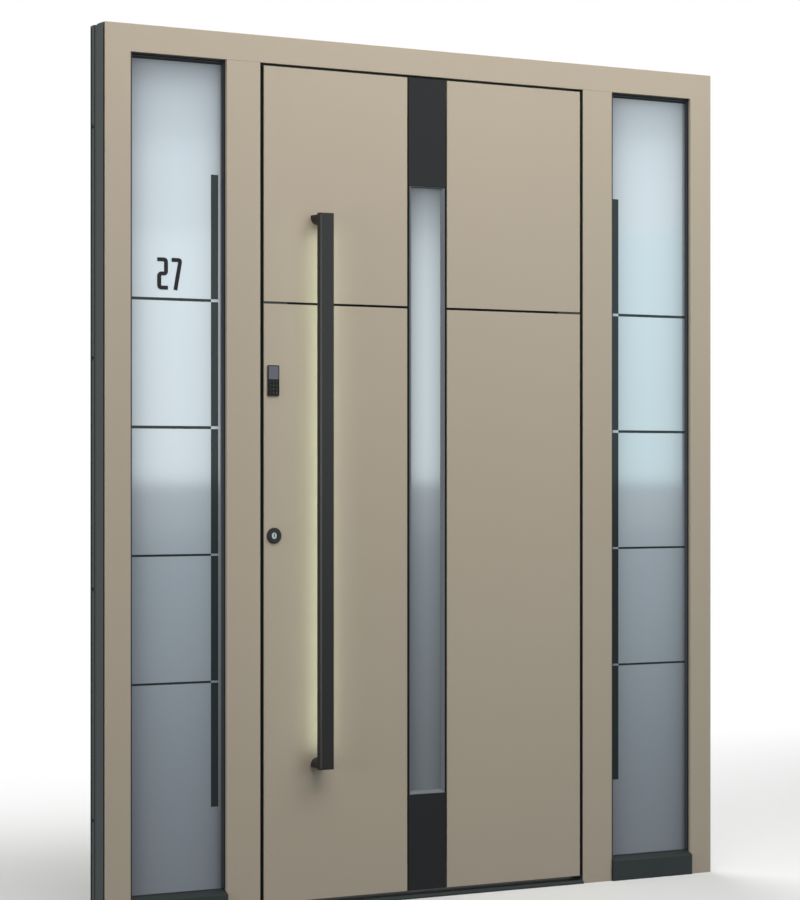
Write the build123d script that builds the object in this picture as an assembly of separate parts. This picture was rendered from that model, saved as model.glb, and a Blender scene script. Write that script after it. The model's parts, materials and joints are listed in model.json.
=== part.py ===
from build123d import *
import os

# Flush aluminium front door with two fixed sidelights in one frame. All sizes in millimetres.
# X runs to the right seen from outside, Y runs inwards and Z up.
# The origin is the middle of the threshold's underside.

# Frame as a whole
frame_width = 1860
frame_height = 2250
frame_depth = 90
door_opening = 994

# Frame profiles
frame_face = 70
mullion_face = 95.5
lip_depth = 16
rebate = 20
cover_thickness = 3
cover_turn = 9
cover_round = 1
wall_groove_width = 8
wall_groove_depth = 5
break_groove_setback = 49
break_groove_width = 18
break_groove_depth = 1.5
inner_groove_setback = 2
inner_groove_width = 6.5

# Anchor holes in the jambs
anchor_radius = 5.25
anchor_count = 4
anchor_end_margin = 255
anchor_from_inside = 15

# Sidelight sills and the threshold
sill_front_height = 55.5
sill_top_height = 65
sill_projection = 8
sill_front_round = 2
threshold_height = 9.5
threshold_projection = 4
threshold_chamfer = 5
threshold_groove_width = 4
threshold_groove_depth = 2
threshold_groove_pitch = 12
threshold_groove_count = 3

# Sidelight glazing
glazing_gasket = 4
gasket_showing = 6
gasket_flat = 2.5
gasket_front_setback = 12
gasket_edge = 0.5
sill_gasket_showing = 3
gasket_joint = 0.4
pane_thickness = 6
pane_lap = 15
unit_cavity = 24
spacer_width = 8
bead_showing = 4
bead_slope = 6
bead_joint = 0.4

# Leaf
leaf_side_gap = 10.5
leaf_top_gap = 7
leaf_floor_gap = 12.5
leaf_overlap = 12
seal_thickness = 3
seal_width = 8
seal_setback = 2
seal_joint = 0.4
seal_running_gap = 5
stile_width = 70
panel_thickness = 4
panel_round = 0.8
panel_groove = 6
panel_groove_height = 1565

# Glazed column in the leaf
column_width = 123
column_joint = 4
upper_inlay_height = 285.5
lower_inlay_height = 253
inlay_joint = 1
trim_joint = 7.5
trim_face = 9
trim_lip = 7.5
trim_top_face = 3
trim_bevel = 8.5
trim_top_bevel = 2.5
trim_bevel_depth = 7
trim_wall = 1.5
trim_clearance = 0.5
leaf_pane_thickness = 6

# Pull bar with its light strip
bar_width = 40
bar_depth = 20
bar_chamfer = 3.5
bar_setback = 155.5
bar_bottom = 362
bar_length = 1436
standoff_length = 36
standoff_straight = 4
standoff_end_margin = 4
strip_width = 12
strip_thickness = 2
strip_end_margin = 45

# Keypad beside the lock edge
keypad_width = 32.5
keypad_height = 79
keypad_projection = 4
keypad_setback = 25.75
keypad_bottom = 1325
keypad_corner = 2.5
keypad_rim = 2
keypad_recess = 1.5
screen_height = 34
screen_thickness = 1
key_columns = 3
key_rows = 4
key_gap = 1.5
key_thickness = 1.2

# Lock cylinder, its rosettes and the inside lever
lock_setback = 28.5
cylinder_height = 966
cylinder_radius = 8.5
cylinder_stem_width = 10
cylinder_stem_drop = 24.5
cylinder_clearance = 0.5
rosette_radius = 20.5
rosette_projection = 5.5
rosette_face = 3
rosette_chamfer = 2.5
rosette_end_gap = 0.2
key_slot_width = 2.4
key_slot_height = 9
key_slot_depth = 12
lever_above_cylinder = 92
lever_rose_radius = 26
lever_rose_projection = 8
lever_radius = 9
lever_reach = 50
lever_length = 125
lever_bend = 14
lever_end_chamfer = 2

# Multi-point lock strip on the leaf's edge and its keeps in the mullion
lock_strip_width = 24
lock_strip_thickness = 3
lock_strip_end_margin = 300
bolt_window_width = 14
bolt_window_height = 40
bolt_clearance = 0.4
hook_end_margin = 150
keep_margin = 30

# Hinges on the inside
hinge_end_margin = 226
hinge_half_height = 50
hinge_split = 0.15
hinge_axis_setoff = 12
barrel_radius = 11
barrel_chamfer = 1
pin_radius = 5
pin_clearance = 0.05
pin_reach = 45
pin_end_gap = 1
hinge_plate_width = 50
hinge_plate_thickness = 5
hinge_plate_corner = 4

# Places that follow from the sizes above
half_width = frame_width / 2
half_opening = door_opening / 2
front_y = -frame_depth / 2
back_y = frame_depth / 2
cover_back_y = front_y + cover_thickness
turn_back_y = front_y + cover_turn
lip_back_y = front_y + lip_depth
head_lip_z = frame_height - frame_face
head_rebate_z = head_lip_z + rebate
side_inner_x = half_opening + mullion_face
side_outer_x = half_width - frame_face
side_centre_x = (side_inner_x + side_outer_x) / 2
side_opening = side_outer_x - side_inner_x

leaf_half = half_opening - leaf_side_gap
flange_half = half_opening + leaf_overlap
leaf_bottom = threshold_height + leaf_floor_gap
leaf_top = head_lip_z - leaf_top_gap
flange_top = head_lip_z + leaf_overlap
flange_front_y = lip_back_y + seal_thickness + seal_running_gap
panel_back_y = front_y + panel_thickness
skin_front_y = back_y - panel_thickness
core_half = leaf_half - stile_width
core_bottom = leaf_bottom + stile_width
core_top = leaf_top - stile_width
column_half = column_width / 2
column_glass_bottom = leaf_bottom + lower_inlay_height + inlay_joint
column_glass_top = leaf_top - upper_inlay_height - inlay_joint
inlay_half = column_half - column_joint
trim_half = column_half - trim_joint
slot_half = trim_half + trim_clearance

pane_front_y = lip_back_y + glazing_gasket
pane_back_y = pane_front_y + pane_thickness
inner_pane_front_y = pane_back_y + unit_cavity
inner_pane_back_y = inner_pane_front_y + pane_thickness
pane_half = side_opening / 2 + pane_lap
pane_bottom = sill_top_height - pane_lap
pane_top = head_lip_z + pane_lap
rebate_half = side_opening / 2 + rebate
rebate_bottom = sill_top_height - rebate

bar_centre_x = bar_setback - leaf_half
bar_top = bar_bottom + bar_length
bar_back_y = front_y - standoff_length
bar_front_y = bar_back_y - bar_depth

hinge_axis_x = (flange_half + half_opening + rebate) / 2
hinge_axis_y = back_y + hinge_axis_setoff
hinge_low = leaf_bottom + hinge_end_margin
hinge_high = leaf_top - hinge_end_margin
hinge_heights = (hinge_low, (hinge_low + hinge_high) / 2, hinge_high)

keypad_centre_x = keypad_setback - leaf_half
lock_x = lock_setback - leaf_half
lever_height = cylinder_height + lever_above_cylinder
cylinder_end_y = front_y - rosette_projection + rosette_face + rosette_end_gap
lock_strip_y = (flange_front_y + back_y) / 2
lock_strip_bottom = leaf_bottom + lock_strip_end_margin
lock_strip_top = leaf_top - lock_strip_end_margin
hook_low_height = lock_strip_bottom + hook_end_margin
hook_high_height = lock_strip_top - hook_end_margin


def rect(x0, x1, y0, y1):
    return Pos((x0 + x1) / 2, (y0 + y1) / 2) * Rectangle(x1 - x0, y1 - y0)


def upright(sketch, z0, z1):
    return Pos(0, 0, z0) * extrude(sketch, z1 - z0)


def slab(x0, x1, y0, y1, z0, z1):
    return upright(rect(x0, x1, y0, y1), z0, z1)


def along_x(points, x0, x1):
    return extrude(Plane.YZ.offset(x0) * make_face(Polyline(*points, close=True)), x1 - x0)


def facing(sketch, y0, y1):
    # A sketch drawn as seen from outside, with X to the right and Z up, from depth y0 to y1
    plane = Plane(origin=(0, y0, 0), x_dir=(1, 0, 0), z_dir=(0, -1, 0))
    return extrude(plane * sketch, -(y1 - y0))


def mirrored_x(shape):
    return mirror(shape, about=Plane.YZ)


def both_sides(shape):
    return Part() + [*shape.solids(), *mirrored_x(shape).solids()]


def rounded_front(shape, radius):
    return fillet(shape.faces().sort_by(Axis.Y)[0].edges(), radius)


# Profiles of the frame bars, drawn from 0 across the face to the side where the glass sits
def lip_sketch(face):
    neck = rect(0, face - cover_thickness, cover_back_y, turn_back_y)
    return neck + rect(0, face, turn_back_y, lip_back_y)


def cover_sketch(face):
    plate = rect(0, face, front_y, cover_back_y)
    turn = rect(face - cover_thickness, face, front_y, turn_back_y)
    sketch = plate + turn
    return fillet(sketch.vertices().group_by(Axis.Y)[0], cover_round)


# Core of jambs and head, grooved on the wall side
def edge_core_sketch():
    stem = rect(0, frame_face - rebate, lip_back_y, back_y)
    wall_groove = rect(0, wall_groove_depth, cover_back_y, cover_back_y + wall_groove_width)
    break_y = front_y + break_groove_setback
    break_groove = rect(0, break_groove_depth, break_y, break_y + break_groove_width)
    inner_y = back_y - inner_groove_setback
    inner_groove = rect(0, wall_groove_depth, inner_y - inner_groove_width, inner_y)
    return lip_sketch(frame_face) + stem - wall_groove - break_groove - inner_groove


# An upright bar mitred at its top, drawn from x0 to the right, and the bar across the top
def mitred_upright(sketch, x0, z0, z1):
    bar = Pos(x0, 0, z0) * extrude(sketch, z1 - z0)
    return split(bar, bisect_by=Plane(origin=(x0, 0, z1), z_dir=(1, 0, 1)), keep=Keep.BOTTOM)


def mitred_top(sketch, x0, x1, z1):
    bar = Pos(x0, 0, z1) * Rot(0, 90, 0) * extrude(sketch, x1 - x0)
    bar = split(bar, bisect_by=Plane(origin=(x0, 0, z1), z_dir=(1, 0, 1)), keep=Keep.TOP)
    return split(bar, bisect_by=Plane(origin=(x1, 0, z1), z_dir=(-1, 0, 1)), keep=Keep.TOP)


def jamb_bar(sketch):
    return mitred_upright(sketch, -half_width, 0, frame_height)


def head_bar(sketch):
    return mitred_top(sketch, -half_width, half_width, frame_height)


def anchored_jamb():
    jamb = jamb_bar(edge_core_sketch())
    drill = Plane.YZ.offset(-half_width) * Pos(back_y - anchor_from_inside, 0) * Circle(anchor_radius)
    pitch = (frame_height - 2 * anchor_end_margin) / (anchor_count - 1)
    for row in range(anchor_count):
        height = anchor_end_margin + row * pitch
        jamb -= Pos(0, 0, height) * extrude(drill, frame_face)
    return jamb


def mullion_core():
    lip = upright(lip_sketch(mullion_face), 0, head_lip_z)
    stem = rect(rebate, mullion_face - rebate, lip_back_y, back_y)
    return Pos(half_opening, 0, 0) * (lip + upright(stem, 0, head_rebate_z))


def bolt_heights():
    return hook_low_height, cylinder_height, lever_height, hook_high_height


# Keeps let into the mullion's side, one at each hook and one long one at the latch and bolt
def keep_spans():
    reach = bolt_window_height / 2 + keep_margin
    low, bolt, latch, high = bolt_heights()
    return [(low - reach, low + reach), (bolt - reach, latch + reach), (high - reach, high + reach)]


def lock_side_slab(x0, x1, width, z0, z1):
    return slab(x0, x1, lock_strip_y - width / 2, lock_strip_y + width / 2, z0, z1)


def keeps(x_face, depth):
    shape = [lock_side_slab(x_face - depth, x_face, lock_strip_width, z0, z1) for z0, z1 in keep_spans()]
    return Part() + shape


def bolt_windows(x0, x1, clearance):
    width = bolt_window_width + 2 * clearance
    reach = bolt_window_height / 2 + clearance
    shape = [lock_side_slab(x0, x1, width, z - reach, z + reach) for z in bolt_heights()]
    return Part() + shape


# Sidelight pieces, made for the right side and mirrored for the left
def sidelight_sill():
    sill_front_y = front_y - sill_projection
    nose = [
        (sill_front_y, 0),
        (sill_front_y, sill_front_height),
        (lip_back_y, sill_top_height),
        (lip_back_y, 0),
    ]
    lip = along_x(nose, side_inner_x, side_outer_x)
    front_edge = lip.edges().filter_by(Axis.X).group_by(Axis.Y)[0].sort_by(Axis.Z)[-1]
    lip = fillet(front_edge, sill_front_round)
    bed = slab(side_centre_x - rebate_half, side_centre_x + rebate_half, lip_back_y, back_y, 0, rebate_bottom)
    return lip + bed


def sidelight_pane(y0, y1):
    return slab(side_centre_x - pane_half, side_centre_x + pane_half, y0, y1, pane_bottom, pane_top)


# Four straight strips round the sidelight, the uprights standing between the cross pieces
def sidelight_strips(inner_half, outer_half, inner_z, outer_z, y0, y1):
    x0, x1 = side_centre_x - outer_half, side_centre_x + outer_half
    width = outer_half - inner_half
    bottom, top = inner_z
    strips = [slab(x0, x1, y0, y1, outer_z[0], bottom), slab(x0, x1, y0, y1, top, outer_z[1])]
    for left in (x0, x1 - width):
        strips.append(slab(left, left + width, y0, y1, bottom + bead_joint, top - bead_joint))
    return strips


# Glazing gasket: held behind the lip, with a flat and a slope down to the glass in front of it
def gasket_sketch():
    gasket_front_y = front_y + gasket_front_setback
    inner = pane_lap + gasket_showing
    outline = [
        (0, lip_back_y),
        (pane_lap, lip_back_y),
        (pane_lap, gasket_front_y),
        (pane_lap + gasket_flat, gasket_front_y),
        (inner, pane_front_y - gasket_edge),
        (inner, pane_front_y),
        (0, pane_front_y),
    ]
    return make_face(Polyline(*outline, close=True))


def sidelight_gasket():
    x0, x1 = side_centre_x - pane_half, side_centre_x + pane_half
    foot_top = sill_top_height + sill_gasket_showing
    foot = slab(x0, x1, lip_back_y, pane_front_y, pane_bottom, foot_top)
    side = mitred_upright(gasket_sketch(), x0, foot_top + gasket_joint, pane_top - gasket_joint)
    other_side = mirror(side, about=Plane.YZ.offset(side_centre_x))
    return Part() + [foot, side, other_side, mitred_top(gasket_sketch(), x0, x1, pane_top)]


def sidelight_spacer():
    inner = pane_half - spacer_width
    inner_z = (pane_bottom + spacer_width, pane_top - spacer_width)
    outer_z = (pane_bottom, pane_top)
    return Part() + sidelight_strips(inner, pane_half, inner_z, outer_z, pane_back_y, inner_pane_front_y)


def sidelight_bead():
    inner = side_opening / 2 - bead_showing
    inner_z = (sill_top_height + bead_showing, head_lip_z - bead_showing)
    outer_z = (rebate_bottom, head_rebate_z)
    bars = sidelight_strips(inner, rebate_half, inner_z, outer_z, inner_pane_back_y, back_y)
    middle = Vector(side_centre_x, back_y, (inner_z[0] + inner_z[1]) / 2)
    sloped = []
    for bar in bars:
        rim = bar.faces().sort_by(Axis.Y)[-1].edges()
        long_rim = rim.sort_by(lambda edge: edge.length)[-2:]
        nearest = long_rim.sort_by(lambda edge: (edge.center() - middle).length)[0]
        sloped.append(chamfer(nearest, bead_slope))
    return Part() + sloped


# Weather seal on the back of the lips round the leaf
def frame_seal():
    inner = half_opening + seal_setback
    outer = inner + seal_width
    y1 = lip_back_y + seal_thickness
    seal_top = head_lip_z + seal_setback
    side = slab(inner, outer, lip_back_y, y1, threshold_height + seal_joint, seal_top + seal_width)
    top = slab(seal_joint - inner, inner - seal_joint, lip_back_y, y1, seal_top, seal_top + seal_width)
    return Part() + [side, mirrored_x(side), top]


def threshold():
    nose_y = front_y - threshold_projection
    outline = [
        (nose_y, 0),
        (nose_y, threshold_height - threshold_chamfer),
        (nose_y + threshold_chamfer, threshold_height),
        (back_y, threshold_height),
        (back_y, 0),
    ]
    body = along_x(outline, -half_opening, half_opening)
    tongue_half = half_opening + rebate
    body += slab(-tongue_half, tongue_half, lip_back_y, back_y, 0, threshold_height)
    for row in range(threshold_groove_count):
        y0 = nose_y + 2 * threshold_chamfer + row * threshold_groove_pitch
        groove_z = threshold_height - threshold_groove_depth
        body -= slab(-half_opening, half_opening, y0, y0 + threshold_groove_width, groove_z, threshold_height)
    return body


# Lock cylinder: a round plug through the leaf, over a rounded stem between the leaf's two skins
def plug_sketch(grow):
    return Pos(lock_x, cylinder_height) * Circle(cylinder_radius + grow)


def cylinder_sketch(grow):
    stem_half = cylinder_stem_width / 2
    stem_end = cylinder_stem_drop - stem_half
    stem = rect(-stem_half - grow, stem_half + grow, -stem_end, 0)
    foot = Pos(0, -stem_end) * Circle(stem_half + grow)
    return plug_sketch(grow) + Pos(lock_x, cylinder_height) * (stem + foot)


def plug_cut(y0, y1):
    return facing(plug_sketch(cylinder_clearance), y0, y1)


def lock_cylinder():
    body = facing(plug_sketch(0), cylinder_end_y, -cylinder_end_y)
    body += facing(cylinder_sketch(0), panel_back_y, skin_front_y)
    slot = Pos(lock_x, cylinder_height) * Rectangle(key_slot_width, key_slot_height)
    return body - facing(slot, cylinder_end_y, cylinder_end_y + key_slot_depth)


def rosette():
    face_y = front_y - rosette_projection
    disc = facing(Pos(lock_x, cylinder_height) * Circle(rosette_radius), face_y, front_y)
    disc = chamfer(disc.faces().sort_by(Axis.Y)[0].edges(), rosette_chamfer)
    return disc - plug_cut(face_y, front_y)


# Leaf pieces
def stile_sketch():
    outer = rect(core_half, leaf_half, panel_back_y, flange_front_y)
    flange = rect(core_half, flange_half, flange_front_y, skin_front_y)
    return outer, flange


def hinge_stile():
    outer, flange = stile_sketch()
    return upright(outer, leaf_bottom, leaf_top) + upright(flange, leaf_bottom, flange_top)


def lock_strip_slab(clearance):
    z0, z1 = lock_strip_bottom - clearance, lock_strip_top + clearance
    width = lock_strip_width + 2 * clearance
    return lock_side_slab(-flange_half, lock_strip_thickness - flange_half, width, z0, z1)


def lock_stile():
    stile = mirrored_x(hinge_stile()) - lock_strip_slab(bolt_clearance)
    return stile - facing(cylinder_sketch(cylinder_clearance), panel_back_y, skin_front_y)


def top_rail():
    outer = slab(-core_half, core_half, panel_back_y, flange_front_y, core_top, leaf_top)
    return outer + slab(-core_half, core_half, flange_front_y, skin_front_y, core_top, flange_top)


def bottom_rail():
    return slab(-core_half, core_half, panel_back_y, skin_front_y, leaf_bottom, core_bottom)


def column_slot(y0, y1):
    z0, z1 = column_glass_bottom - trim_clearance, column_glass_top + trim_clearance
    return slab(-slot_half, slot_half, y0, y1, z0, z1)


def leaf_core():
    core = slab(-core_half, core_half, panel_back_y, skin_front_y, core_bottom, core_top)
    return core - column_slot(panel_back_y, skin_front_y)


def panel(x0, x1, z0, z1):
    return rounded_front(slab(x0, x1, front_y, panel_back_y, z0, z1), panel_round)


def inner_skin():
    skin = slab(-flange_half, flange_half, skin_front_y, back_y, leaf_bottom, flange_top)
    return skin - column_slot(skin_front_y, back_y) - plug_cut(skin_front_y, back_y)


# Trim round the column's pane: a bevelled lip in front of the glass and a thin wall round its edge
def trim_bevel_cut(sight_half, z0, z1):
    plane = Plane(origin=(0, front_y, 0), x_dir=(1, 0, 0), z_dir=(0, -1, 0))
    narrow = rect(-sight_half, sight_half, z0, z1)
    wide_half = sight_half + trim_bevel
    wide = rect(-wide_half, wide_half, z0 - trim_bevel, z1 + trim_top_bevel)
    return loft([plane * wide, plane.offset(-trim_bevel_depth) * narrow])


def column_trim():
    z0, z1 = column_glass_bottom, column_glass_top
    depth = trim_lip + leaf_pane_thickness
    ring = slab(-trim_half, trim_half, front_y, front_y + depth, z0, z1)
    sight_half = trim_half - trim_face
    sight_bottom, sight_top = z0 + trim_face, z1 - trim_top_face
    ring -= slab(-sight_half, sight_half, front_y, front_y + depth, sight_bottom, sight_top)
    ring -= trim_bevel_cut(sight_half, sight_bottom, sight_top)
    seat_half = trim_half - trim_wall
    seat_y = front_y + trim_lip
    return ring - slab(-seat_half, seat_half, seat_y, front_y + depth, z0 + trim_wall, z1 - trim_wall)


def column_pane():
    inset = trim_wall + trim_clearance
    half = trim_half - inset
    y0 = front_y + trim_lip
    z0, z1 = column_glass_bottom + inset, column_glass_top - inset
    return slab(-half, half, y0, y0 + leaf_pane_thickness, z0, z1)


# Pull bar: chamfered front, shallow channel in its back for the light strip
def strip_slab():
    x0 = bar_centre_x - strip_width / 2
    z0, z1 = bar_bottom + strip_end_margin, bar_top - strip_end_margin
    return slab(x0, x0 + strip_width, bar_back_y - strip_thickness, bar_back_y, z0, z1)


def pull_bar():
    x0 = bar_centre_x - bar_width / 2
    bar = slab(x0, x0 + bar_width, bar_front_y, bar_back_y, bar_bottom, bar_top)
    bar = chamfer(bar.faces().sort_by(Axis.Y)[0].edges(), bar_chamfer)
    return bar - strip_slab()


# Half-round stand-off, flat towards the bar's end and round towards its middle
def standoff(end_z, inwards):
    radius = bar_width / 2
    flat_z = end_z + inwards * standoff_end_margin
    centre_z = flat_z + inwards * standoff_straight
    far_z = centre_z + inwards * radius
    x0, x1 = bar_centre_x - radius, bar_centre_x + radius
    disc = Pos(bar_centre_x, centre_z) * Circle(radius)
    half_space = rect(x0, x1, min(flat_z, far_z), max(flat_z, far_z))
    straight = rect(x0, x1, min(flat_z, centre_z), max(flat_z, centre_z))
    return facing((disc & half_space) + straight, bar_back_y, front_y)


# Keypad: a rimmed housing with a screen above and a block of keys below
keypad_face_y = front_y - keypad_projection
keypad_floor_y = keypad_face_y + keypad_recess
keypad_inner_half = keypad_width / 2 - keypad_rim
keypad_top = keypad_bottom + keypad_height
screen_bottom = keypad_top - keypad_rim - screen_height


def keypad_housing():
    outline = Pos(keypad_centre_x, keypad_bottom + keypad_height / 2)
    plate = RectangleRounded(keypad_width, keypad_height, keypad_corner)
    body = facing(outline * plate, keypad_face_y, front_y)
    well = Rectangle(keypad_width - 2 * keypad_rim, keypad_height - 2 * keypad_rim)
    return body - facing(outline * well, keypad_face_y, keypad_floor_y)


def keypad_screen():
    x0, x1 = keypad_centre_x - keypad_inner_half, keypad_centre_x + keypad_inner_half
    y0 = keypad_floor_y - screen_thickness
    return slab(x0, x1, y0, keypad_floor_y, screen_bottom, keypad_top - keypad_rim)


def keypad_keys():
    key_width = (2 * keypad_inner_half - (key_columns + 1) * key_gap) / key_columns
    field = screen_bottom - keypad_bottom - keypad_rim
    key_height = (field - (key_rows + 1) * key_gap) / key_rows
    y0 = keypad_floor_y - key_thickness
    keys = []
    for column in range(key_columns):
        x0 = keypad_centre_x - keypad_inner_half + key_gap + column * (key_width + key_gap)
        for row in range(key_rows):
            z0 = keypad_bottom + keypad_rim + key_gap + row * (key_height + key_gap)
            keys.append(slab(x0, x0 + key_width, y0, keypad_floor_y, z0, z0 + key_height))
    return Part() + keys


# Inside lever: a rose on the skin and a bent round lever
def lever_rose():
    outline = Pos(lock_x, lever_height) * Circle(lever_rose_radius)
    disc = facing(outline, back_y, back_y + lever_rose_projection)
    return chamfer(disc.faces().sort_by(Axis.Y)[-1].edges(), rosette_chamfer)


def inside_lever():
    y0 = back_y + lever_rose_projection
    y1 = y0 + lever_reach
    start = (lock_x, y0, lever_height)
    bend = (lock_x, y1, lever_height)
    path = FilletPolyline(start, bend, (lock_x + lever_length, y1, lever_height), radius=lever_bend)
    lever = sweep(Plane(origin=start, z_dir=(0, 1, 0)) * Circle(lever_radius), path=path)
    return chamfer(lever.faces().sort_by(Axis.X)[-1].edges(), lever_end_chamfer)


# Hinge halves: a plate on the inner face fused to half the barrel
def hinge_half(x_side, z0, z1):
    barrel = Pos(hinge_axis_x, hinge_axis_y) * Circle(barrel_radius)
    barrel = upright(barrel, z0, z1)
    rims = barrel.edges().filter_by(GeomType.CIRCLE)
    barrel = chamfer(rims, barrel_chamfer)
    x_near, x_far = hinge_axis_x, hinge_axis_x + x_side * hinge_plate_width
    outline = rect(min(x_near, x_far), max(x_near, x_far), z0, z1)
    far_corners = outline.vertices().sort_by(Axis.X, reverse=x_side > 0)[:2]
    plate = facing(fillet(far_corners, hinge_plate_corner), back_y, back_y + hinge_plate_thickness)
    return barrel + plate


def pin_cylinder(radius, z0, z1):
    return upright(Pos(hinge_axis_x, hinge_axis_y) * Circle(radius), z0, z1)


def hinge_frame_half(height):
    half = hinge_half(1, height - hinge_half_height, height - hinge_split)
    return half + pin_cylinder(pin_radius, height - hinge_half_height / 2, height + pin_reach)


def hinge_leaf_half(height):
    half = hinge_half(-1, height + hinge_split, height + hinge_half_height)
    return half - pin_cylinder(pin_radius + pin_clearance, height, height + pin_reach + pin_end_gap)


# Every piece by name
keep_face_x = -half_opening - rebate
edge_cover = cover_sketch(frame_face)
mullion_cover = Pos(half_opening, 0, 0) * upright(cover_sketch(mullion_face), 0, head_lip_z)
lock_strip_x = -flange_half

nodes = {
    "left_jamb": anchored_jamb(),
    "right_jamb": mirrored_x(anchored_jamb()),
    "head": head_bar(edge_core_sketch()),
    "left_mullion": mirrored_x(mullion_core()) - keeps(keep_face_x, lock_strip_thickness),
    "right_mullion": mullion_core(),
    "left_jamb_cover": jamb_bar(edge_cover),
    "right_jamb_cover": mirrored_x(jamb_bar(edge_cover)),
    "head_cover": head_bar(edge_cover),
    "left_mullion_cover": mirrored_x(mullion_cover),
    "right_mullion_cover": mullion_cover,
    "threshold": threshold(),
    "frame_seal": frame_seal(),
    "lock_keeps": keeps(keep_face_x, lock_strip_thickness)
    - bolt_windows(keep_face_x - lock_strip_thickness, keep_face_x, bolt_clearance),
}

# Both sidelights: sills and panes by side, and the strips round the glass of both together
sill = sidelight_sill()
outer_pane = sidelight_pane(pane_front_y, pane_back_y)
inner_pane = sidelight_pane(inner_pane_front_y, inner_pane_back_y)
nodes["right_sidelight_sill"] = sill
nodes["left_sidelight_sill"] = mirrored_x(sill)
nodes["right_sidelight_outer_pane"] = outer_pane
nodes["left_sidelight_outer_pane"] = mirrored_x(outer_pane)
nodes["right_sidelight_inner_pane"] = inner_pane
nodes["left_sidelight_inner_pane"] = mirrored_x(inner_pane)
nodes["sidelight_gaskets"] = both_sides(sidelight_gasket())
nodes["sidelight_spacers"] = both_sides(sidelight_spacer())
nodes["sidelight_beads"] = both_sides(sidelight_bead())

# Leaf
groove_low = panel_groove_height - panel_groove / 2
groove_high = panel_groove_height + panel_groove / 2
lower_panel = panel(column_half, leaf_half, leaf_bottom, groove_low)
upper_panel = panel(column_half, leaf_half, groove_high, leaf_top)
pane = column_pane()
trim = column_trim()

nodes["lock_stile"] = lock_stile()
nodes["hinge_stile"] = hinge_stile()
nodes["leaf_top_rail"] = top_rail()
nodes["leaf_bottom_rail"] = bottom_rail()
nodes["leaf_core"] = leaf_core()
nodes["left_lower_panel"] = mirrored_x(lower_panel) - plug_cut(front_y, panel_back_y)
nodes["left_upper_panel"] = mirrored_x(upper_panel)
nodes["right_lower_panel"] = lower_panel
nodes["right_upper_panel"] = upper_panel
nodes["lower_inlay"] = panel(-inlay_half, inlay_half, leaf_bottom, column_glass_bottom - inlay_joint)
nodes["upper_inlay"] = panel(-inlay_half, inlay_half, column_glass_top + inlay_joint, leaf_top)
nodes["column_trim_outer"] = trim
nodes["column_trim_inner"] = mirror(trim, about=Plane.XZ)
nodes["column_pane_outer"] = pane
nodes["column_pane_inner"] = mirror(pane, about=Plane.XZ)
nodes["inner_skin"] = inner_skin()

nodes["pull_bar"] = pull_bar()
nodes["pull_bar_light"] = strip_slab()
nodes["pull_bar_standoffs"] = Part() + [standoff(bar_top, -1), standoff(bar_bottom, 1)]

nodes["keypad_housing"] = keypad_housing()
nodes["keypad_screen"] = keypad_screen()
nodes["keypad_keys"] = keypad_keys()

nodes["lock_rosette"] = rosette()
nodes["inner_lock_rosette"] = mirror(rosette(), about=Plane.XZ)
nodes["lock_cylinder"] = lock_cylinder()
nodes["lever_rose"] = lever_rose()
nodes["inside_lever"] = inside_lever()
lock_strip_back_x = lock_strip_x + lock_strip_thickness
nodes["lock_strip"] = lock_strip_slab(0) - bolt_windows(lock_strip_x, lock_strip_back_x, bolt_clearance)
nodes["lock_bolts"] = bolt_windows(lock_strip_x, lock_strip_back_x, 0)

nodes["hinge_frame_halves"] = Part() + [hinge_frame_half(height) for height in hinge_heights]
nodes["hinge_leaf_halves"] = Part() + [hinge_leaf_half(height) for height in hinge_heights]

os.makedirs("parts", exist_ok=True)
for name, shape in nodes.items():
    export_step(shape, "parts/" + name + ".step")
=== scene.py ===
import json
import math

import bmesh
import bpy
from mathutils import Matrix, Vector


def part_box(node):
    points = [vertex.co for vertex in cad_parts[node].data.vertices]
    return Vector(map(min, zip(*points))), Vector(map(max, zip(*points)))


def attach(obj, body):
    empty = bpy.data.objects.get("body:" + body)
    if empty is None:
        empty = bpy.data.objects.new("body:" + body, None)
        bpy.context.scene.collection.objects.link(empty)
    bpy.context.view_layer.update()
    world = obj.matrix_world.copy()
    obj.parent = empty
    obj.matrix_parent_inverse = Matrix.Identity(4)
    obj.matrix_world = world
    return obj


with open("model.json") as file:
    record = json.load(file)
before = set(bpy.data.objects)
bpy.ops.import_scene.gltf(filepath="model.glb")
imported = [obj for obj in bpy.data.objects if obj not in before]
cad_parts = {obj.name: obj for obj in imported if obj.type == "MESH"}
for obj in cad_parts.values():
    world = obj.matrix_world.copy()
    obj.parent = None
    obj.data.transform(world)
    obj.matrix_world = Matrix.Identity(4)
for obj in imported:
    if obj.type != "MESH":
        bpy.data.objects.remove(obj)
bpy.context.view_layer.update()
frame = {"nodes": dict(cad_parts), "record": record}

# Flush front door with two frosted sidelights, dressed round its frame. Metres, Z up, outside is -Y.
nodes = frame["nodes"]
print("frame loaded,", len(nodes), "nodes")


def rgb(red, green, blue):
    # a screen colour, 0 to 255, as the linear colour that shaders take
    def linear(value):
        share = value / 255
        return share / 12.92 if share <= 0.04045 else ((share + 0.055) / 1.055) ** 2.4
    return (linear(red), linear(green), linear(blue), 1.0)


# small helpers for shader trees
def join(tree, value, socket):
    if isinstance(value, bpy.types.NodeSocket):
        tree.links.new(value, socket)
    else:
        socket.default_value = value


def calc(tree, operation, first, second):
    node = tree.nodes.new("ShaderNodeMath")
    node.operation = operation
    join(tree, first, node.inputs[0])
    join(tree, second, node.inputs[1])
    return node.outputs[0]


def noise(tree, place, scale, detail=2.0):
    node = tree.nodes.new("ShaderNodeTexNoise")
    node.inputs["Detail"].default_value = detail
    tree.links.new(place, node.inputs["Vector"])
    join(tree, scale, node.inputs["Scale"])
    return node.outputs["Fac"]


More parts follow.
